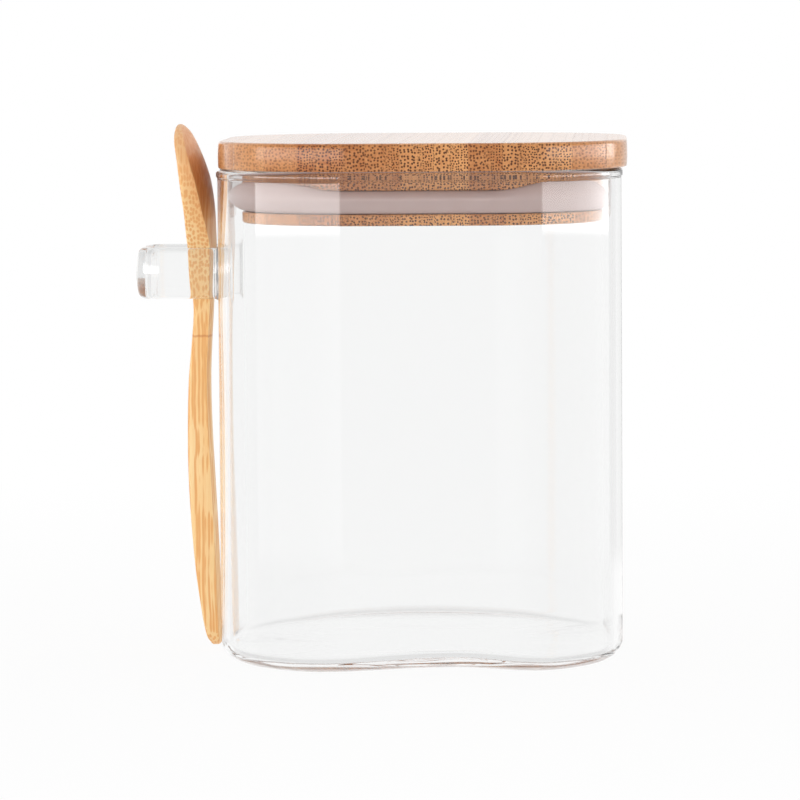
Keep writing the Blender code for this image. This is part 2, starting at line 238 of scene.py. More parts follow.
# %% [markdown]
# ## Studio
# Clear glass has almost no colour of its own: what draws it is what stands round it. A photographer puts it
# in a white room with pale screens beside the camera, which its walls mirror as tall panes. The darker space
# between them leaves the middle of the front a little grey. Lamps light the wood and the silicone. Gloss
# doesn't show the upright ones, so their level and that of the screens can be set apart.

# %% Floor
floor_half = 6.0
floor_gap = 0.15 * mm
# The camera sees the floor as white, but for a share left to shadow near the object. Light that the wood
# scatters finds floor_bounce of the white.
shadow_start, shadow_reach = 0.05, 0.45
shadow_share = 0.08
floor_bounce = 0.5


def make_floor():
    """Rays that gloss mirrors or glass bends go on through the floor, to the screens and the room below."""
    shape = bmesh.new()
    bmesh.ops.create_grid(shape, x_segments=1, y_segments=1, size=floor_half)
    bmesh.ops.translate(shape, vec=(0, 0, -floor_gap), verts=shape.verts)
    finish, tree, plain = new_material("studio_floor")
    set_inputs(tree, plain, Base_Color=(0.9, 0.9, 0.9, 1), Roughness=0.9)
    glow = add(tree, "ShaderNodeEmission")
    set_inputs(tree, glow, Color=(1, 1, 1, 1), Strength=1.0)
    place, _ = place_parts(tree)
    distance = add(tree, "ShaderNodeVectorMath", operation="LENGTH")
    tree.links.new(place, distance.inputs[0])
    share = add(tree, "ShaderNodeMapRange")
    set_inputs(tree, share, From_Min=shadow_start, From_Max=shadow_reach, To_Min=1 - shadow_share, To_Max=1.0)
    set_inputs(tree, share, Value=distance.outputs["Value"])
    path = add(tree, "ShaderNodeLightPath")
    part = maths(tree, "MULTIPLY", path.outputs["Is Camera Ray"], share.outputs[0])
    part = maths(tree, "MULTIPLY_ADD", path.outputs["Is Diffuse Ray"], floor_bounce, part)
    lit = mix_shaders(tree, part, plain.outputs[0], glow.outputs[0])
    clear = add(tree, "ShaderNodeBsdfTransparent").outputs[0]
    surface = mix_shaders(tree, path.outputs["Is Glossy Ray"], lit, clear)
    set_inputs(tree, tree.nodes["Material Output"], Surface=surface)
    finished("studio_floor", shape, finish)


make_floor()
print("floor:", 2 * floor_half, "m square")

# %% World
# The room is white, level 1, at the back. These are its levels in front as gloss sees it, then in front,
# below and at the sides as seen through glass, and where along Y, Z or X each one fades. Scattered light
# finds world_ambient.
front_mirrored, mirrored_fade = 0.5, (-0.3, 0.4)
front_through, through_fade = 0.95, (-0.5, 0.2)
under_through, under_fade = 0.8, (-0.5, -0.18)
side_through, side_fade = 0.85, (0.4, 0.8)
world_ambient = 0.25
# Screens that gloss mirrors: bearings in degrees where one starts and ends, and what it adds to the room's
# level up high and low down. Bearing 0 is the camera's side and 90 its right. Below 0 it is a black flag.
screens = (
    (-90, -12.4, 5.8, 0.6),
    (14.3, 52.9, 0.12, 0.3),
    (53, 130, 5.2, 0.18),
    (131, 146, -0.5, -0.5),
    (146, 172, -0.25, -0.25),
    (-146, -131, 0.5, 0.2),
    (-172, -146, 0.3, 0.12),
)
# Where a screen's high part starts at the top and ends, where its low part ends, and how soft each edge is,
# all as the upward part of a direction
screen_head, head_softness = 0.11, 0.04
screen_foot, foot_softness = -0.0455, 0.0012
screen_end, end_softness = -0.111, 0.004
side_softness = math.radians(1.2)


def with_screens(tree, axes, level):
    """Adds the screens to the level of the room."""
    bearing = maths(tree, "ARCTAN2", axes["X"], maths(tree, "MULTIPLY", axes["Y"], -1))
    head = soft_edge(tree, axes["Z"], screen_head, head_softness, 1.0, 0.0)
    high = soft_edge(tree, axes["Z"], screen_foot, foot_softness)
    low = soft_edge(tree, axes["Z"], screen_end, end_softness)
    for start, end, over, under in screens:
        glow = maths(tree, "MULTIPLY", low, under)
        glow = maths(tree, "MULTIPLY_ADD", high, over - under, glow)
        glow = maths(tree, "MULTIPLY", glow, head)
        begun = soft_edge(tree, bearing, math.radians(start), side_softness)
        ended = soft_edge(tree, bearing, math.radians(end), side_softness)
        there = maths(tree, "SUBTRACT", begun, ended)
        level = maths(tree, "MULTIPLY_ADD", there, glow, level)
    return level


def make_world():
    world = bpy.data.worlds.new("studio_world")
    world.use_nodes = True
    bpy.context.scene.world = world
    tree = world.node_tree
    path = add(tree, "ShaderNodeLightPath").outputs
    _, axes = place_parts(tree, "Generated")
    mirrored = smooth_step(tree, axes["Y"], *mirrored_fade, front_mirrored, 1.0)
    mirrored = with_screens(tree, axes, mirrored)
    through = smooth_step(tree, axes["Y"], *through_fade, front_through, 1.0)
    under = smooth_step(tree, axes["Z"], *under_fade, under_through, 1.0)
    through = maths(tree, "MULTIPLY", through, under)
    sideways = maths(tree, "ABSOLUTE", axes["X"])
    side = smooth_step(tree, sideways, *side_fade, 1.0, side_through)
    through = maths(tree, "MULTIPLY", through, side)
    level = either(tree, path["Is Glossy Ray"], world_ambient, mirrored)
    level = either(tree, path["Is Transmission Ray"], level, through)
    level = either(tree, path["Is Camera Ray"], level, 1.0)
    set_inputs(tree, tree.nodes["Background"], Color=(1, 1, 1, 1), Strength=level)


make_world()
print("screens:", len(screens))

# %% Lamps
# Bearing in degrees, width and level of each upright lamp
soft_boxes = ((-51, 2.1, 1.5), (34, 0.9, 1.4), (92, 2.1, 0.65), (135, 1.6, 1.2), (-120, 1.2, 0.9))
box_distance, box_height = 1.3, 1.3
top_box_size, top_box_energy = (1.4, 1.2), 3.2
top_box_place = (0.1, 0.2, 1.5)


def area_lamp(name, size, energy, placing, in_gloss):
    """A rectangular lamp that shines down its own axis. Neither the camera nor what glass bends shows it."""
    lamp = bpy.data.lights.new(name, "AREA")
    lamp.shape = "RECTANGLE"
    lamp.size, lamp.size_y = size
    lamp.energy = energy
    lamp.cycles.use_multiple_importance_sampling = False
    obj = bpy.data.objects.new(name, lamp)
    obj.matrix_world = placing
    obj.visible_camera = False
    obj.visible_glossy = in_gloss
    obj.visible_transmission = False
    bpy.context.scene.collection.objects.link(obj)


def soft_box(bearing, width, level):
    """An upright lamp that stands on the floor. It only lights; the world's screens are what gloss shows."""
    turn = math.radians(bearing)
    place = Vector((jar_x + box_distance * math.sin(turn), -box_distance * math.cos(turn), box_height / 2))
    facing = Vector((jar_x - place.x, -place.y, 0)).to_track_quat("-Z", "Y").to_matrix().to_4x4()
    energy = math.pi * width * box_height * level
    area_lamp(f"soft_box_{bearing}", (width, box_height), energy, Matrix.Translation(place) @ facing, False)


for bearing, width, level in soft_boxes:
    soft_box(bearing, width, level)
area_lamp("top_box", top_box_size, top_box_energy, Matrix.Translation(top_box_place), True)

# %% Light caught in thick glass
# In the heel and the loop light turns inside the glass many times before it gets out
turns_inside = 64
scene = bpy.context.scene
scene.cycles.max_bounces = turns_inside
scene.cycles.glossy_bounces = turns_inside
scene.cycles.transmission_bounces = turns_inside
scene.view_settings.view_transform = "Standard"

# %% [markdown]
# ## Clear glass
# Borosilicate glass bends light by 1.47 and has almost no tint. The light that a lamp sends straight to the
# wood, and that wood or silicone scatters, can't follow the bend, so both are let straight through. Without
# that the plug inside the jar would stay in the dark.

# %% Glass material
def clear_glass():
    finish, tree, glass = new_material("borosilicate_glass")
    set_inputs(tree, glass, Base_Color=(0.967, 0.969, 0.968, 1), Roughness=0.0)
    set_inputs(tree, glass, IOR=1.47, Transmission_Weight=1.0)
    clear = add(tree, "ShaderNodeBsdfTransparent")
    set_inputs(tree, clear, Color=(0.975, 0.98, 0.98, 1))
    path = add(tree, "ShaderNodeLightPath")
    surface = glass.outputs[0]
    for ray in ("Is Shadow Ray", "Is Diffuse Ray"):
        surface = mix_shaders(tree, path.outputs[ray], surface, clear.outputs[0])
    set_inputs(tree, tree.nodes["Material Output"], Surface=surface)
    return finish


glass_finish = clear_glass()
print("glass:", glass_finish.name)

# %% [markdown]
# ## A ring that climbs the jar
# The jar is one wall carried round a rounded square. A grid of one face has its four corners bevelled into
# arcs, which gives the plan. That ring of edges is then extruded again and again, and each new ring is
# set in or out along the plan's own normals, so the glass keeps its thickness round the corners.

# %% Rounded square ring
arc_cuts, side_cuts = 28, 15


def start_ring(shape, half, radius):
    """The edges of a rounded square, whose points remember the foot and direction of the plan's normal."""
    made = bmesh.ops.create_grid(shape, x_segments=1, y_segments=1, size=half)
    round_corners(shape, made["verts"], radius, arc_cuts)
    bmesh.ops.delete(shape, geom=shape.faces[:], context="FACES_ONLY")
    longest = max(edge.calc_length() for edge in shape.edges)
    sides = [edge for edge in shape.edges if edge.calc_length() > longest / 2]
    bmesh.ops.subdivide_edges(shape, edges=sides, cuts=side_cuts)
    feet = shape.verts.layers.float_vector.new("foot")
    outwards = shape.verts.layers.float_vector.new("outward")
    straight = half - radius
    for vert in shape.verts:
        x, y, _ = vert.co
        foot = Vector((max(-straight, min(straight, x)), max(-straight, min(straight, y)), 0))
        vert[feet] = foot
        vert[outwards] = (vert.co - foot).normalized()
    return shape.edges[:]


def round_corners(shape, verts, radius, segments):
    """Turns corner points of a flat face into arcs."""
    bmesh.ops.bevel(
        shape,
        geom=verts,
        offset=radius,
        offset_type="OFFSET",
        segments=segments,
        profile=0.5,
        affect="VERTICES",
        clamp_overlap=False,
        material=-1,
    )


def place_ring(shape, edges, middle_x, radius, height, share=1.0, shift=None):
    """Sets a ring's corner radius and height. share draws the whole ring in towards its middle."""
    feet = shape.verts.layers.float_vector["foot"]
    outwards = shape.verts.layers.float_vector["outward"]
    for vert in {vert for edge in edges for vert in edge.verts}:
        spot = (vert[feet] + vert[outwards] * radius) * share
        vert.co = spot + Vector((middle_x, 0, height))
        if shift:
            vert.co += shift(spot)


def next_ring(shape, edges):
    """Extrudes a ring of edges and returns the new ring."""
    made = bmesh.ops.extrude_edge_only(shape, edges=edges)
    return [item for item in made["geom"] if isinstance(item, bmesh.types.BMEdge)]


def stack_rings(half, radius, rows, closed=False):
    """A solid from rows of (middle x, inset, height, share, shift), capped or else closed on itself."""
    shape = bmesh.new()
    ring = first = start_ring(shape, half, radius)
    for number, (middle_x, inset, height, share, shift) in enumerate(rows):
        if number:
            ring = next_ring(shape, ring)
        place_ring(shape, ring, middle_x, radius - inset, height, share, shift)
    if closed:
        bmesh.ops.bridge_loops(shape, edges=first + ring)
    else:
        bmesh.ops.contextual_create(shape, geom=first)
        bmesh.ops.contextual_create(shape, geom=ring)
    return cleaned(shape, "foot", "outward")


# %% [markdown]
# ## The jar
# The jar's section is followed once from the middle of the underside, round the heel, up the wall, over the
# fire-polished bead of the rim and back down inside to the middle of the floor. Between the four pads
# at its corners the foot rises in a low arch, as moulded glass does when its base shrinks.

# %% Sizes of the jar
jar_half = 50 * mm
jar_radius = 35 * mm
wall = 2.4 * mm
glass_floor = 2.8 * mm
heel = 5.0 * mm
inner_heel = 1.8 * mm
pad = 2.2 * mm
arch_rise = 1.5 * mm
bead_height = 2.1 * mm
bead_proud = 0.3 * mm
jar_top = jar_high.z

# %% The arches of the foot
# Each arch's lean to one side, the share of the side that it spans, and the power that makes its top narrower
side_arch = (0.27, 0.84, 2)
back_arch = (0.0, 0.98, 1.2)


def arch_at(spot):
    """1 in the middle of each side's arch and 0 on the pads at the corners."""
    quarter = math.pi / 2
    along = ((math.atan2(spot.y, spot.x) + quarter / 2) % quarter) / (quarter / 2) - 1
    lean, span, power = back_arch if spot.y > abs(spot.x) else side_arch
    reach = along - lean
    reach /= (1 + lean) if reach < 0 else (1 - lean)
    return 0.0 if abs(reach) >= span else math.cos(quarter * reach / span) ** power


def arched(share):
    """Raises a ring by a share of the arches."""
    return lambda spot: Vector((0, 0, arch_rise * share * arch_at(spot)))


# %% The jar's section, row by row
# Shares of the way out from the middle: where rings lie under and on the floor, and between which two the
# underside and the floor rise to the arches
flat_shares = [0.1 + 0.03 * step for step in range(30)]
under_rise, floor_rise = (0.55, 1.0), (0.51, 0.93)
heel_steps, rim_steps, inner_heel_steps = 16, 16, 20
# The share of the arches left at the heel's top, and the heights in mm between which it fades
heel_arch, heel_fade = 0.2, (5, 20)
# Heights in mm of the rings on the wall. They lie close together where the loop is fused on.
outer_heights = [7, 8, 9.5, 11, 13, 15, 17, 20, 24, 30, 40, 50, 60, 75]
outer_heights += [84 + 1.6 * step for step in range(16)] + [114]
inner_heights = (118, 112, 104, 96, 86, 70, 50, 40, 32, 26, 21, 18, 15.5, 13.5, 11.5, 10)
# How the rim's bead starts: inset, and height over the bead's foot, in mm
bead_start = ((0.0, -0.6), (0.0, -0.35), (-0.06, -0.15), (-0.18, 0.0), (-0.27, 0.15), (-0.3, 0.4))


def foot_rows():
    """Inset, height, share and arch of the rings of the underside and the heel."""
    rows = [(heel + pad, 0.0, share, eased(share, *under_rise)) for share in flat_shares]
    rows += [(heel + pad, 0.0, 1.0, 1.0), (heel + pad / 2, 0.0, 1.0, 1.0)]
    for step, turn in enumerate(arc(heel_steps)):
        arch = 1 - (1 - heel_arch) * eased(step / heel_steps, 0, 1)
        rows.append((heel * (1 - math.sin(turn)), heel * (1 - math.cos(turn)), 1.0, arch))
    return rows


def rim_rows():
    """The rings of the fire-polished bead, from outside over the top."""
    rows = [(inset * mm, jar_top - bead_height + up * mm, 1.0, 0.0) for inset, up in bead_start]
    for step in range(rim_steps + 1):
        turn = math.pi * step / rim_steps
        side = wall / 2 + (bead_proud if step < rim_steps / 2 else 0.0)
        rows.append((wall / 2 - side * math.cos(turn), jar_top - wall / 2 * (1 - math.sin(turn)), 1.0, 0.0))
    return rows


def jar_rows():
    """The whole section, from the underside's middle to the floor's."""
    rows = foot_rows()
    rows += [(0.0, height * mm, 1.0, heel_arch * (1 - eased(height, *heel_fade))) for height in outer_heights]
    rows += rim_rows()
    rows += [(wall, height * mm, 1.0, 0.0) for height in inner_heights]
    for turn in arc(inner_heel_steps):
        height = glass_floor + inner_heel * (1 - math.sin(turn))
        rows.append((wall + inner_heel * (1 - math.cos(turn)), height, 1.0, 1.0))
    for share in reversed(flat_shares):
        rows.append((wall + inner_heel, glass_floor, share, eased(share, *floor_rise)))
    return [(jar_x, inset, height, share, arched(arch)) for inset, height, share, arch in rows]


canister = finished("glass_canister", stack_rings(jar_half, jar_radius, jar_rows()), glass_finish)
print("jar:", len(canister.data.polygons), "faces")

# %% [markdown]
# ## The spoon loop
# A flat strap of softened glass was bent round and its two feet were fused to the wall. One section is drawn,
# its corners rounded and its outer face crowned, and it is pushed out, spun through the bend and pushed to
# the middle, then mirrored. Near the wall it swells into the fillet of the weld.

# %% Sizes of the loop
wall_x = jar_x - jar_half
loop_low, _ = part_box("spoon_loop")
loop_half_depth = 13 * mm
strap, strap_height, strap_crown = 3.6 * mm, 12.7 * mm, 0.9 * mm
strap_round = (strap - strap_crown) / 2
strap_arc_steps, strap_cuts, bend_steps = 7, 9, 16
loop_bend = 6.8 * mm
loop_top = jar_top - 19.9 * mm
loop_middle_z = loop_top - strap_height / 2
weld, weld_depth, weld_steps = 1.4 * mm, 0.9 * mm, 7
weld_start = math.radians(12)


# %% The strap's section
def strap_section(shape):
    """A rounded rectangle whose points remember their place in the section and the way they swell."""
    made = bmesh.ops.create_grid(shape, x_segments=1, y_segments=1, size=0.5)
    bmesh.ops.scale(shape, vec=(strap, strap_height, 1), verts=made["verts"])
    round_corners(shape, made["verts"], strap_round, strap_arc_steps)
    bmesh.ops.delete(shape, geom=shape.faces[:], context="FACES_ONLY")
    long_edges = [edge for edge in shape.edges if edge.calc_length() > strap_height / 2]
    bmesh.ops.subdivide_edges(shape, edges=long_edges, cuts=strap_cuts)
    bmesh.ops.contextual_create(shape, geom=shape.edges[:])
    places = shape.verts.layers.float_vector.new("place")
    swells = shape.verts.layers.float_vector.new("swell")
    core = Vector((strap / 2 - strap_round, strap_height / 2 - strap_round))
    for vert in shape.verts:
        across, up, _ = vert.co
        foot = Vector((max(-core.x, min(core.x, across)), max(-core.y, min(core.y, up)), 0))
        vert[swells] = (vert.co - foot).normalized()
        crown = strap_crown * (2 * up / strap_height) ** 2 if across < 0 else 0.0
        vert[places] = Vector((across + crown, up, 0))
    return shape.faces[:][0]


def place_section(shape, face, middle, grow):
    """Puts a section upright across the strap's arm, swollen by a distance."""
    places = shape.verts.layers.float_vector["place"]
    swells = shape.verts.layers.float_vector["swell"]
    for vert in face.verts:
        spot = vert[places] + vert[swells] * grow
        vert.co = middle + Vector((0, spot.x, spot.y))


# %% Carrying the section along
def push(shape, face, shift):
    """Extrudes a face along a shift and returns the new face. The first face stays as the end cap."""
    is_cap = len(shape.faces) == 1
    made = bmesh.ops.extrude_face_region(shape, geom=[face])
    if not is_cap:
        bmesh.ops.delete(shape, geom=[face], context="FACES_ONLY")
    new_verts = [item for item in made["geom"] if isinstance(item, bmesh.types.BMVert)]
    bmesh.ops.translate(shape, vec=shift, verts=new_verts)
    return next(item for item in made["geom"] if isinstance(item, bmesh.types.BMFace))


def weld_stations():
    """(distance from the wall, swelling) from inside the glass out to the plain strap."""
    stations = [(-weld_depth, weld)]
    for step in range(weld_steps + 1):
        turn = weld_start + (math.pi / 2 - weld_start) * step / weld_steps
        stations.append((weld * (1 - math.cos(turn)), weld * (1 - math.sin(turn))))
    return stations


def make_loop_shape():
    shape = bmesh.new()
    arm_y = -(loop_half_depth - strap / 2)
    face = strap_section(shape)
    for number, (distance, grow) in enumerate(weld_stations()):
        if number:
            face = push(shape, face, Vector())
        middle = Vector((wall_x - distance, arm_y, loop_middle_z))
        place_section(shape, face, middle, grow)
    turn_radius = loop_bend - strap / 2
    bend_x = loop_low.x + loop_bend
    face = push(shape, face, Vector((bend_x - middle.x, 0, 0)))
    made = bmesh.ops.spin(
        shape,
        geom=[face],
        cent=(bend_x, arm_y + turn_radius, 0),
        axis=(0, 0, 1),
        angle=-math.pi / 2,
        steps=bend_steps,
    )
    bmesh.ops.delete(shape, geom=[face], context="FACES_ONLY")
    face = next(item for item in made["geom_last"] if isinstance(item, bmesh.types.BMFace))
    face = push(shape, face, Vector((0, -(arm_y + turn_radius), 0)))
    bmesh.ops.delete(shape, geom=[face], context="FACES_ONLY")
    everything = shape.verts[:] + shape.edges[:] + shape.faces[:]
    bmesh.ops.mirror(shape, geom=everything, axis="Y", merge_dist=0.01 * mm)
    return cleaned(shape, "place", "swell")


# %% Fusing the loop to the wall
def fuse(main, other):
    """Joins a second solid to the first, as flame does, and clears the second away."""
    join = main.modifiers.new("fuse", "BOOLEAN")
    join.operation = "UNION"
    join.solver = "EXACT"
    join.object = other
    graph = bpy.context.evaluated_depsgraph_get()
    joined = bpy.data.meshes.new_from_object(main.evaluated_get(graph))
    main.modifiers.clear()
    main.data = joined
    bpy.data.objects.remove(other)
    main.data.shade_smooth()
    main.data.set_sharp_from_angle(angle=math.radians(50))


loop = finished("glass_loop", make_loop_shape(), glass_finish)
fuse(canister, loop)
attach(canister, "jar")
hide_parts("jar_body", "spoon_loop")
print("fused glass:", len(canister.data.polygons), "faces")

# %% [markdown]
# ## Laminated bamboo
# The lid is a board of bamboo strips glued side by side, with their fibres running from front to back. At the
# front edge each strip shows the cut ends of its fibre bundles as dark dots, crowded towards the side that
# was the outside of the cane. One solid texture of long thin rods gives the dots on the ends and the
# streaks on the long faces together, so nothing has to be lined up.

# %% Sizes of the lid
lid_half = 50.64 * mm
lid_radius = 35.64 * mm
plug_half, core_half = 44.65 * mm, 41.35 * mm
plug_inset, core_inset = lid_half - plug_half, lid_half - core_half
lid_bottom = jar_top + 0.05 * mm
lid_top = lid_high.z
groove_top = lid_bottom - 4.7 * mm
groove_bottom = groove_top - 5.75 * mm
plug_bottom = lid_bottom - 13.25 * mm
# Edge roundings, and how far the lid's side bellies out
lid_edge, lower_edge, plug_edge, groove_edge = 0.9 * mm, 0.5 * mm, 0.7 * mm, 0.25 * mm
lid_belly = 0.1 * mm
# The full strips end a little outside the plug on both sides
strip_count = 11
strip_pitch = 2 * (plug_half + 0.9 * mm) / strip_count
seam = 0.02 * mm

# %% Fibre ends
def fibre_ends(tree, across, up, spacing, radius, softness, randomness):
    """1 inside fibre bundles seen end on. radius and softness are shares of the spacing."""
    flat = add(tree, "ShaderNodeCombineXYZ")
    set_inputs(tree, flat, X=across, Y=up)
    cells = add(tree, "ShaderNodeTexVoronoi", voronoi_dimensions="2D", feature="F1")
    set_inputs(tree, cells, Scale=1 / spacing, Randomness=randomness, Vector=flat.outputs[0])
    return soft_edge(tree, cells.outputs["Distance"], radius, softness, 1.0, 0.0)


# %% Bamboo lid material
# How each strip was laid: tone, how crowded its fibres are, which side they crowd to, how dark they are
strip_looks = (
    (0.50, 0.40, 0.0, 0.24), (0.60, 0.50, 1.0, 0.38), (0.44, 0.60, 1.0, 0.50), (0.30, 0.98, 0.0, 0.95),
    (0.34, 0.78, 0.0, 0.90), (0.44, 0.72, 1.0, 0.85), (0.64, 0.80, 1.0, 1.00), (0.74, 1.00, 1.0, 1.00),
    (0.39, 0.76, 1.0, 0.90), (0.62, 0.88, 1.0, 1.00), (0.68, 0.97, 1.0, 1.00), (0.46, 0.70, 1.0, 0.50),
    (0.60, 0.60, 1.0, 0.24),
)


def lid_bamboo():
    finish, tree, wood = new_material("laminated_bamboo")
    place, axes = place_parts(tree)
    look = add(tree, "ShaderNodeAttribute", attribute_name="strip_look")
    parts = add(tree, "ShaderNodeSeparateColor")
    tree.links.new(look.outputs["Color"], parts.inputs[0])
    tone, crowding, side = parts.outputs
    strength = look.outputs["Alpha"]

    # Place across the strip, 0 on its sparse side and 1 on its crowded side
    from_edge = maths(tree, "SUBTRACT", axes["X"], lid_x - strip_pitch * strip_count / 2)
    across = maths(tree, "FRACT", maths(tree, "DIVIDE", from_edge, strip_pitch))
    outward = either(tree, side, maths(tree, "SUBTRACT", 1.0, across), across)

    # Rods that sway a little along the board. Each strip's own looks shift them, so no two strips are alike.
    sway = noise(tree, mapped(tree, place, (0.3, 1, 0.3)), 45, 2)
    shifted = maths(tree, "MULTIPLY_ADD", crowding, 0.31, axes["X"])
    rod_x = maths(tree, "MULTIPLY_ADD", sway, 0.9 * mm, shifted)
    dips = noise(tree, place, 420, 1)
    sunk = maths(tree, "MULTIPLY_ADD", dips, 0.7 * mm, axes["Z"])
    rod_z = maths(tree, "MULTIPLY_ADD", tone, 0.23, sunk)
    fine = fibre_ends(tree, rod_x, rod_z, 0.66 * mm, 0.29, 0.07, 0.6)
    wide = fibre_ends(tree, rod_x, rod_z, 0.84 * mm, 0.31, 0.06, 0.65)
    cloud = noise(tree, mapped(tree, place, (1, 0.12, 1)), 330, 2)
    density = maths(tree, "MULTIPLY", maths(tree, "POWER", outward, 1.2), crowding)
    uneven = maths(tree, "MULTIPLY_ADD", cloud, 0.5, density)
    crowd = smooth_step(tree, uneven, 0.5, 0.85)
    dots = either(tree, crowd, wide, fine)
    deep = maths(tree, "MULTIPLY_ADD", density, 0.3, 0.85)
    dark = maths(tree, "MULTIPLY", maths(tree, "MULTIPLY", dots, deep), strength, clamp=True)

    # On the faces sawn along the fibres the bundles are faint streaks
    facing = add(tree, "ShaderNodeSeparateXYZ")
    tree.links.new(add(tree, "ShaderNodeNewGeometry").outputs["Normal"], facing.inputs[0])
    ends = smooth_step(tree, facing.outputs["Z"], 0.3, 0.8, 1.0, 0.3)
    dark = maths(tree, "MULTIPLY", dark, ends)

    drawn_out = mapped(tree, place, (1, 0.1, 1))
    mottle = noise(tree, drawn_out, 1500, 2, 0.6)
    patch = noise(tree, drawn_out, 260, 2, 0.6)
    light = maths(tree, "MULTIPLY_ADD", mottle, 0.7, maths(tree, "MULTIPLY_ADD", patch, 0.5, -0.6))
    # Painted light: the plug, below the lid's underside, is made a little paler for the light that reaches it
    # inside the jar
    inside = smooth_step(tree, axes["Z"], lid_bottom - 0.5 * mm, lid_bottom, 0.06, 0.0)
    light = maths(tree, "ADD", light, inside)
    tone_mix = maths(tree, "ADD", light, tone, clamp=True)
    ground = mix_colours(tree, tone_mix, colour(162, 85, 36), colour(234, 171, 110))
    fibre = mix_colours(tree, tone, colour(44, 10, 3), colour(72, 22, 8))
    set_inputs(tree, wood, Base_Color=mix_colours(tree, dark, ground, fibre))
    roughen(tree, wood, maths(tree, "SUBTRACT", 1.0, dots), 0.3)
    set_inputs(tree, wood, Roughness=maths(tree, "MULTIPLY_ADD", dots, 0.1, 0.3), Specular_IOR_Level=0.3)
    set_inputs(tree, wood, Coat_Weight=1.0, Coat_Roughness=0.15, Coat_IOR=1.3)
    return finish


lid_finish = lid_bamboo()
print("bamboo:", lid_finish.name)


# %% The routed board
def rounded(inset, height, radius, steps):
    """Inset and height along a rounded lower edge."""
    turns = arc(steps)
    return [(inset + radius * (1 - math.sin(turn)), height + radius * (1 - math.cos(turn))) for turn in turns]


def side_rows():
    """The lid's side between its two edges, out by the belly half way up."""
    low, high = lid_bottom + lower_edge, lid_top - lid_edge
    shares = (0.15, 0.35, 0.5, 0.65, 0.85)
    return [(lid_belly * (1 - math.sin(math.pi * share)), low + (high - low) * share) for share in shares]


def board_rows():
    """The section from the plug's underside to the lid's top. Rings just inside the edges keep faces flat."""
    rows = [(plug_inset + 2.0 * mm, plug_bottom), (plug_inset + 1.0 * mm, plug_bottom)]
    rows += rounded(plug_inset, plug_bottom, plug_edge, 5)
    rows += [
        (plug_inset, groove_bottom - groove_edge),
        (plug_inset + groove_edge, groove_bottom),
        (core_inset, groove_bottom),
        (core_inset, groove_top),
        (plug_inset + groove_edge, groove_top),
        (plug_inset, groove_top + groove_edge),
        (plug_inset, lid_bottom),
        (lid_belly + lower_edge + 0.4 * mm, lid_bottom),
    ]
    rows += rounded(lid_belly, lid_bottom, lower_edge, 6) + side_rows()
    for turn in arc(6):
        rows.append((lid_belly + lid_edge * (1 - math.cos(turn)), lid_top - lid_edge * (1 - math.sin(turn))))
    rows += [(lid_belly + lid_edge + 0.4 * mm, lid_top), (lid_belly + lid_edge + 1.4 * mm, lid_top)]
    return [(lid_x, inset, height, 1.0, None) for inset, height in rows]


board = stack_rings(lid_half, lid_radius, board_rows())
print("lid board:", len(board.faces), "faces")


# %% Sawing the board into strips
def cut_away(shape, place_x, outwards):
    """Cuts off what lies past an upright plane and closes the cut."""
    bmesh.ops.bisect_plane(
        shape,
        geom=shape.verts[:] + shape.edges[:] + shape.faces[:],
        dist=1e-7,
        plane_co=(place_x, 0, 0),
        plane_no=(outwards, 0, 0),
        clear_outer=True,
    )
    rim = [edge for edge in shape.edges if edge.is_boundary]
    bmesh.ops.edgenet_fill(shape, edges=rim)


def make_strips():
    lines = [lid_x + strip_pitch * (line - strip_count / 2) for line in range(strip_count + 1)]
    ends = [None] + lines + [None]
    for number, (left, right) in enumerate(zip(ends, ends[1:]), start=1):
        strip = board.copy()
        if left is not None:
            cut_away(strip, left + seam / 2, -1)
        if right is not None:
            cut_away(strip, right - seam / 2, 1)
        bmesh.ops.recalc_face_normals(strip, faces=strip.faces)
        name = f"lid_strip_{number:02d}"
        obj = finished("bamboo_" + name, strip, lid_finish, smooth_degrees=35)
        look = obj.data.color_attributes.new("strip_look", "FLOAT_COLOR", "POINT")
        for item in look.data:
            item.color = strip_looks[number - 1]
        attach(obj, "lid")
        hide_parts(name)


make_strips()
board.free()
print("strips:", len(strip_looks))

# %% [markdown]
# ## The seal
# A ring of milky silicone sits in the groove. Its lip is wider than the jar, so the wall bends it and keeps
# it on the jar's own middle, while its root stays on the lid's.

# %% Silicone
def silicone():
    finish, tree, rubber = new_material("milky_silicone")
    place, _ = place_parts(tree)
    cloud = noise(tree, place, 300, 3)
    # The silicone is milky grey; the pink in its colour is painted light, the warm glow that the bamboo
    # throws on it
    tint = mix_colours(tree, cloud, colour(188, 163, 158), colour(198, 175, 170))
    set_inputs(tree, rubber, Base_Color=tint, Roughness=maths(tree, "MULTIPLY_ADD", cloud, 0.1, 0.5))
    set_inputs(tree, rubber, Subsurface_Weight=0.2, Subsurface_Scale=1.0)
    set_inputs(tree, rubber, Subsurface_Radius=(0.003, 0.0024, 0.002))
    roughen(tree, rubber, noise(tree, place, 2500, 2), 0.1)
    return finish


# %% Seal ring
seal_half, seal_radius = plug_half, 29.65 * mm
seal_bottom = groove_bottom + 0.15 * mm
lip_middle_x = jar_x - 0.42 * mm
corner_curl = 2.3 * mm
# Degrees off the nearest axis between which the lip curls up, and where on the right it folds out
curl_turns, fold_start, fold_end = (22, 40), 25 * mm, 42 * mm
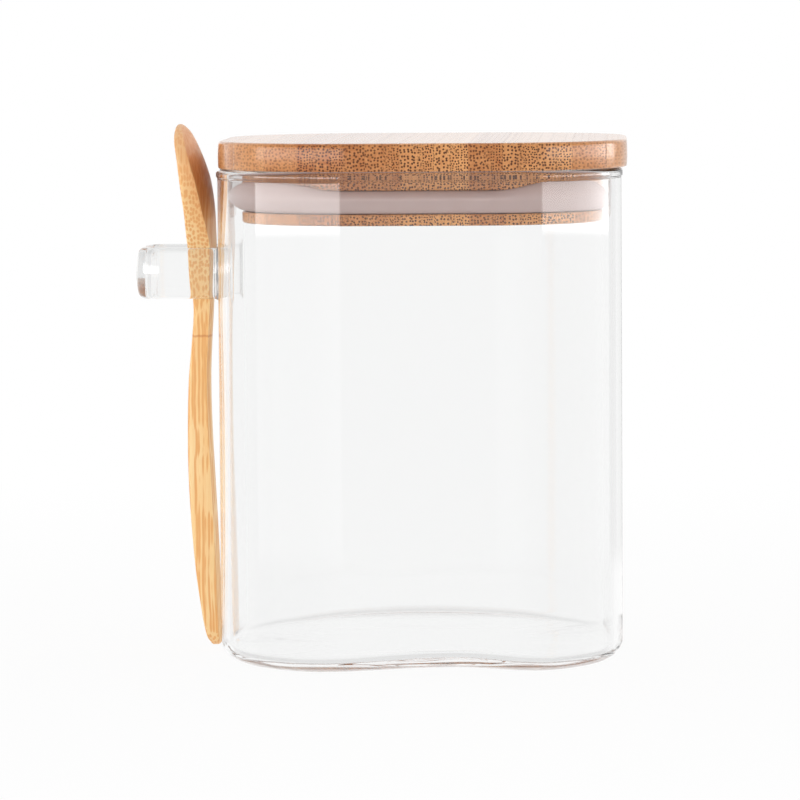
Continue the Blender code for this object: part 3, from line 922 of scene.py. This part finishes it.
# Half width and height over the bottom in mm, how far the ring follows the jar, how far it curls up in the
# corners, and how far the jar's wall folds it out on the right, in mm
seal_section = (
    (41.65, 0.0, 0, 0, 0), (41.65, 5.5, 0, 0, 0), (43.4, 5.5, 0, 0, 0), (44.4, 5.5, 0, 0, 0),
    (44.95, 5.45, 0.3, 0.9, 0), (45.35, 5.3, 0.7, 1.0, 0.3), (45.9, 5.0, 1, 0.95, 0.3),
    (46.45, 4.6, 1, 0.8, 0.1), (46.9, 4.15, 1, 0.5, 0), (47.15, 3.75, 1, 0.25, 0), (47.1, 3.4, 1, 0.1, 0.05),
    (46.8, 2.95, 1, 0, 0.2), (46.35, 2.35, 1, 0, 0.55), (45.85, 1.65, 0.9, 0, 0.85),
    (45.35, 1.0, 0.7, 0, 0.9), (44.9, 0.5, 0.4, 0, 0.7), (44.45, 0.15, 0, 0, 0.3), (43.8, 0.0, 0, 0, 0),
)


def curled(curl, fold):
    """Lifts the lip round the corners and folds it out on the right."""
    def shift(spot):
        near, far = sorted((abs(spot.x), abs(spot.y)))
        corner = eased(math.degrees(math.atan2(near, far)), *curl_turns)
        return Vector((fold * mm * eased(spot.x, fold_start, fold_end), 0, corner_curl * curl * corner))

    return shift


def seal_rows():
    rows = []
    for half, height, follow, curl, fold in seal_section:
        middle = lid_x + (lip_middle_x - lid_x) * follow
        rows.append((middle, seal_half - half * mm, seal_bottom + height * mm, 1.0, curled(curl, fold)))
    return rows


seal_shape = stack_rings(seal_half, seal_radius, seal_rows(), closed=True)
seal = finished("silicone_seal", seal_shape, silicone(), smooth_degrees=60)
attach(seal, "lid")
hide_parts("seal_ring")
print("seal:", len(seal.data.polygons), "faces")

# %% [markdown]
# ## The spoon
# It is carved from one split of cane: a flat front, a crowned back, a hollow in the bowl. Its level sections
# are one ring of points, extruded up row by row and set to the width and the two faces measured from the
# side. The hollow is pressed into the front with a smooth dish.

# %% Sizes of the spoon
spoon_low, spoon_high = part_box("spoon")
spoon_wall_gap, spoon_thick = 0.6 * mm, 7.0 * mm
spoon_foot = spoon_low.z
shoulder_z = loop_top - strap_round / 2
bowl_length = spoon_high.z - shoulder_z
bowl_half = 14.0 * mm
shoulder_half = loop_half_depth - strap - 0.3 * mm
handle_half, neck_half = 5.9 * mm, 4.8 * mm
foot_round, foot_start = 5.5 * mm, 0.08
# Shares of the handle where it widens to the shoulders and of the bowl where that is widest, and the outline
# from there to the tip
neck_share, belly_share = 0.85, 0.58
tip_reach, tip_power = 0.9936, 2.3

# %% The spoon from the side
# Heights as shares of the handle, then of the bowl; front and back as shares of the thickness
handle_side = (
    (0.000, 0.40, 0.140), (0.006, 0.45, 0.080), (0.020, 0.56, 0.057), (0.045, 0.64, 0.064),
    (0.070, 0.71, 0.080), (0.180, 0.93, 0.124), (0.310, 1.09, 0.197), (0.437, 1.18, 0.286),
    (0.557, 1.19, 0.363), (0.674, 1.14, 0.390), (0.760, 1.03, 0.343), (0.849, 0.95, 0.271),
    (0.925, 1.04, 0.214),
)
bowl_side = (
    (0.000, 1.08, 0.171), (0.120, 1.12, 0.174), (0.300, 1.17, 0.200), (0.450, 1.25, 0.271),
    (0.580, 1.32, 0.379), (0.740, 1.41, 0.621), (0.870, 1.51, 0.879), (0.950, 1.52, 1.086),
    (0.985, 1.49, 1.250), (1.000, 1.45, 1.343),
)
# How far the back is crowned, in mm, at shares of the whole height
crown_table = (
    (0.0, 0.3), (0.02, 0.7), (0.70, 0.7), (0.76, 0.76), (0.784, 1.0), (0.842, 2.3), (0.88, 2.7),
    (0.914, 2.8), (0.952, 2.4), (0.985, 1.4), (1.0, 0.4),
)


def side_table():
    handle = shoulder_z - spoon_foot
    rows = [(spoon_foot + handle * share, front, back) for share, front, back in handle_side]
    return rows + [(shoulder_z + bowl_length * share, front, back) for share, front, back in bowl_side]


def smooth_value(height, column):
    """Reads a column of the side table on a smooth curve through its rows."""
    table = side_table()
    number = max(i for i, row in enumerate(table[:-1]) if row[0] <= height + 1e-9)
    low, high = table[number], table[number + 1]
    before = table[max(0, number - 1)]
    after = table[min(len(table) - 1, number + 2)]
    span = high[0] - low[0]
    t = (height - low[0]) / span
    low_slope = (high[column] - before[column]) / (high[0] - before[0])
    high_slope = (after[column] - low[column]) / (after[0] - low[0])
    start = (1 + 2 * t) * (1 - t) ** 2 * low[column] + t * (1 - t) ** 2 * span * low_slope
    end = t * t * (3 - 2 * t) * high[column] + t * t * (t - 1) * span * high_slope
    return spoon_wall_gap + spoon_thick * (start + end)


# %% The spoon from the front
def half_width(height):
    """Half the spoon's width: a tapering handle, the shoulders that hang in the loop, and the bowl."""
    along = (height - spoon_foot) / (shoulder_z - spoon_foot)
    if along < 1:
        if along > neck_share:
            spread = (along - neck_share) / (1 - neck_share)
            half = neck_half + (shoulder_half - neck_half) * spread**2
        else:
            half = neck_half + (handle_half - neck_half) * math.cos(math.pi / 2 * along / neck_share)
        rise = min(1.0, foot_start + (height - spoon_foot) / foot_round)
        return half * math.sqrt(1 - (1 - rise) ** 2)
    along = (height - shoulder_z) / bowl_length
    if along < belly_share:
        spread = math.sin(math.pi / 2 * along / belly_share)
        return shoulder_half + (bowl_half - shoulder_half) * spread
    reach = (along - belly_share) / (1 - belly_share) * tip_reach
    return bowl_half * (1 - reach**tip_power) ** (1 / tip_power)


# %% Carving the spoon
front_points, back_points, edge_points, height_steps = 30, 30, 4, 150
# The front's rounded edges: at most this, and these shares of the thickness and of half the width
edge_round, edge_of_thick, edge_of_half = 0.9 * mm, 0.28, 0.3
crown_power = 2.2
dish_depth, dish_margin, dish_power = 3.6 * mm, 1.9 * mm, 0.62
dish_low, dish_high = loop_top + dish_margin, spoon_high.z - dish_margin
dish_half = bowl_half - dish_margin


def dish_at(height, across):
    """How deep the hollow is at a place on the bowl's front."""
    up = (height - (dish_low + dish_high) / 2) / ((dish_high - dish_low) / 2)
    reach = up**2 + (across / dish_half) ** 2
    return dish_depth * (1 - reach) ** dish_power if reach < 1 else 0.0


def spoon_outline(height):
    """The level section at a height: the front face, the far edge, the back and the near edge."""
    half = half_width(height)
    front, back = smooth_value(height, 1), smooth_value(height, 2)
    thick = front - back
    ease = min(edge_round, thick * edge_of_thick, half * edge_of_half)
    along = (height - spoon_foot) / (spoon_high.z - spoon_foot)
    crown = min(between(along, crown_table) * mm, thick / 2)
    turns = arc(edge_points)[1:]
    edge = [(front - ease * (1 - math.cos(turn)), half - ease * (1 - math.sin(turn))) for turn in turns]
    points = []
    for step in range(front_points + 1):
        across = (2 * step / front_points - 1) * (half - ease)
        points.append((front - dish_at(height, across), across))
    points += edge
    for step in range(back_points + 1):
        across = 1 - 2 * step / back_points
        points.append((back + crown * abs(across) ** crown_power, half * across))
    points += [(out, -across) for out, across in reversed(edge)]
    return [Vector((wall_x - out, across, height)) for out, across in points]


def spoon_heights():
    """Even steps, with a few more at the foot and at the tip, where the outline turns fast."""
    top, low = spoon_high.z, spoon_foot
    heights = [low + (top - low) * step / height_steps for step in range(height_steps + 1)]
    ends = [low + 0.15 * mm, low + 0.35 * mm, top - 0.12 * mm, top - 0.3 * mm, top - 0.5 * mm]
    return sorted(heights + ends)


def make_spoon_shape():
    shape = bmesh.new()
    heights = spoon_heights()
    start = spoon_outline(heights[0])
    made = bmesh.ops.create_circle(shape, segments=len(start), radius=handle_half)
    ring = made["verts"]
    for height in heights:
        if height > heights[0]:
            raised = bmesh.ops.extrude_edge_only(shape, edges=ring_edges(ring))
            fresh = {item for item in raised["geom"] if isinstance(item, bmesh.types.BMVert)}
            ring = [next(e.other_vert(v) for e in v.link_edges if e.other_vert(v) in fresh) for v in ring]
        for vert, spot in zip(ring, spoon_outline(height)):
            vert.co = spot
    bmesh.ops.holes_fill(shape, edges=[edge for edge in shape.edges if edge.is_boundary], sides=0)
    return cleaned(shape)


def ring_edges(ring):
    """The edges between neighbours of a ring of points."""
    found = []
    for one, two in zip(ring, ring[1:] + ring[:1]):
        found.append(next(edge for edge in one.link_edges if edge.other_vert(one) is two))
    return found


# %% Cane material
node_height = 79.8 * mm


def spoon_bamboo():
    finish, tree, wood = new_material("carved_bamboo")
    place, axes = place_parts(tree)

    # Fibres run up the spoon; above the node they lean, so the neck cuts them into ovals
    lean = smooth_step(tree, axes["Z"], 78 * mm, 160 * mm, 0.0, -22 * mm)
    sway = noise(tree, mapped(tree, place, (0.3, 0.3, 1)), 70, 2)
    dips = noise(tree, mapped(tree, place, (1, 1, 0.5)), 260, 1)
    rod_x = maths(tree, "MULTIPLY_ADD", sway, 1.5 * mm, axes["X"])
    rod_y = maths(tree, "MULTIPLY_ADD", dips, 1.3 * mm, maths(tree, "ADD", axes["Y"], lean))
    spots = fibre_ends(tree, rod_x, rod_y, 0.8 * mm, 0.38, 0.13, 0.72)
    threads = fibre_ends(tree, rod_x, rod_y, 0.33 * mm, 0.3, 0.2, 1.0)

    cloud = noise(tree, mapped(tree, place, (1, 1, 0.2)), 150, 3)
    ground = mix_colours(tree, cloud, colour(253, 196, 122), colour(255, 228, 176))
    ground = mix_colours(tree, maths(tree, "MULTIPLY", threads, 0.15), ground, colour(240, 156, 76))
    patchy = maths(tree, "MULTIPLY", spots, maths(tree, "MULTIPLY_ADD", cloud, 0.6, 0.35))
    mottled = mix_colours(tree, patchy, ground, colour(232, 152, 74))

    # Painted shade: the bowl's back, which faces the jar and stands in its shade, is darkened in colour
    back_shade = add(tree, "ShaderNodeAttribute", attribute_name="painted_back_shade")
    deep = mix_colours(tree, 1.0, mottled, colour(232, 190, 152), "MULTIPLY")
    shaded_cane = mix_colours(tree, back_shade.outputs["Fac"], mottled, deep)
    # Painted shade: the colour is darkened towards the tip, which the top lamp lights more than the handle
    tip = smooth_step(tree, axes["Z"], 112 * mm, 130 * mm, 0.0, 0.6)
    shaded_cane = mix_colours(tree, tip, shaded_cane, colour(234, 178, 130))

    # The node of the cane is a thin brown line right round
    ripple = noise(tree, mapped(tree, place, (1, 1, 0.1)), 330, 2)
    above = maths(tree, "MULTIPLY_ADD", ripple, 2 * mm, axes["Z"])
    away = maths(tree, "ABSOLUTE", maths(tree, "SUBTRACT", above, node_height + 1 * mm))
    line = smooth_step(tree, away, 0.0, 0.5 * mm, 1.0, 0.0)
    marked = mix_colours(tree, maths(tree, "MULTIPLY", line, 0.6), shaded_cane, colour(206, 112, 44))
    set_inputs(tree, wood, Base_Color=marked, Roughness=maths(tree, "MULTIPLY_ADD", spots, 0.1, 0.36))
    roughen(tree, wood, maths(tree, "SUBTRACT", 1.0, spots), 0.3)
    return finish


def paint_back_shade(obj):
    """Paints shade on the bowl's back: 1 where it faces the jar, 0 on the front, the sides and lower down."""
    back_shade = obj.data.attributes.new("painted_back_shade", "FLOAT", "POINT")
    for vert, item in zip(obj.data.vertices, back_shade.data):
        item.value = eased(vert.normal.x, 0.3, 0.8) * eased(vert.co.z, 96 * mm, 120 * mm)


spoon = finished("bamboo_spoon", make_spoon_shape(), spoon_bamboo(), smooth_degrees=42)
paint_back_shade(spoon)
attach(spoon, "spoon")
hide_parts("spoon")
print("spoon:", len(spoon.data.polygons), "faces")
